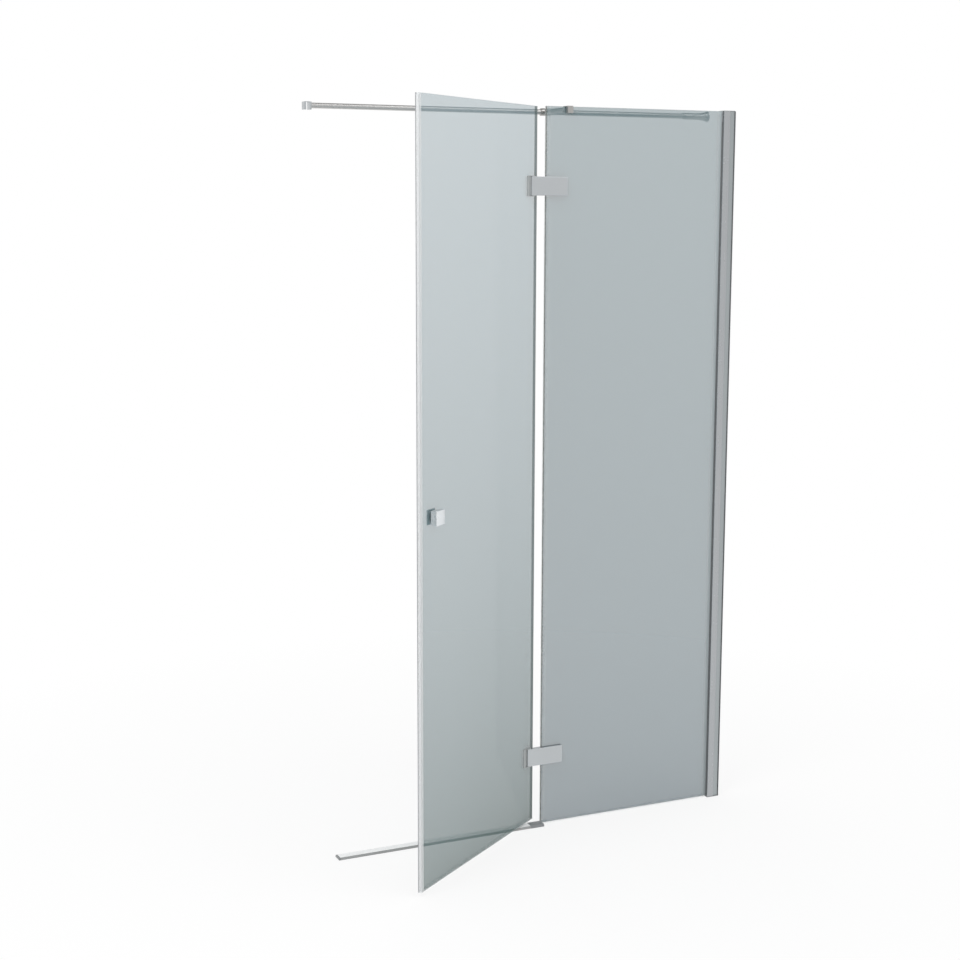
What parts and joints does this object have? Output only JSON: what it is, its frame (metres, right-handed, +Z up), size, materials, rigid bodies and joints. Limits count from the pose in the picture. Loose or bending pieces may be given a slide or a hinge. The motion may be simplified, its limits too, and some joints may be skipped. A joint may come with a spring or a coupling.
{
  "type": "hinged shower door with fixed panel",
  "caption": "Frameless glass shower front: fixed panel in a wall profile, stabiliser bar, and a leaf that swings outward on two glass-to-glass hinges.",
  "frame": {"origin": "foot of the wall face, in the middle of the glass thickness, at the level of the tray", "axes": "+X towards the wall, square to it; +Y into the shower, square to the fixed glass; +Z up"},
  "size_m": [1.19, 0.4808, 1.9572],
  "materials": {
    "clear_glass": "8 mm toughened clear glass",
    "chrome": "bright chrome plating",
    "polished_aluminium": "bright anodised aluminium",
    "satin_aluminium": "satin anodised aluminium",
    "steel": "plain stainless steel",
    "clear_plastic": "clear soft plastic",
    "white_plastic": "white bearing plastic",
    "grey_plastic": "grey moulded plastic",
    "grey_rubber": "dark grey sealing rubber",
    "magnet_rubber": "flexible magnet strip"
  },
  "bodies": {
    "root": {"wall_profile": "satin_aluminium", "wall_seal_strip": "grey_rubber", "glass_profile": "polished_aluminium", "adjusting_screws": "steel", "adjusting_screw_caps": "grey_plastic", "profile_top_cap": "grey_plastic", "profile_bottom_cap": "grey_plastic", "outer_glazing_gasket": "grey_rubber", "inner_glazing_gasket": "grey_rubber", "fixed_glass": "clear_glass", "fixed_edge_seal": "clear_plastic", "fixed_bottom_seal": "clear_plastic", "upper_hinge_block": "chrome", "lower_hinge_block": "chrome", "hinge_bushes": "white_plastic", "block_gaskets": "clear_plastic", "block_screws": "steel", "stabiliser_bar": "chrome", "bar_wall_plate": "steel", "bar_trumpet": "chrome", "bar_tee": "chrome", "tee_lining": "grey_rubber", "tee_grub_screw": "steel", "bar_end_clamp": "chrome", "end_clamp_grub_screw": "steel", "threshold_strip": "satin_aluminium", "threshold_shoe": "grey_plastic", "threshold_end_cap": "grey_plastic"},
    "leaf": {"leaf_glass": "clear_glass", "upper_leaf_bracket": "chrome", "lower_leaf_bracket": "chrome", "upper_hinge_pin": "steel", "lower_hinge_pin": "steel", "bracket_pads": "clear_plastic", "drip_seal": "clear_plastic", "magnet_seal": "clear_plastic", "magnet_strip": "magnet_rubber", "outer_knob": "chrome", "inner_knob_plate": "chrome", "knob_stud": "steel", "knob_washers": "clear_plastic", "knob_grub_screw": "steel"}
  },
  "joints": [
    {"name": "leaf_hinge", "type": "hinge", "parent": "root", "child": "leaf", "pos_m": [-0.615, -0.0115, 0], "axis": [0, 0, 1], "range_deg": [-36, 60]}
  ]
}
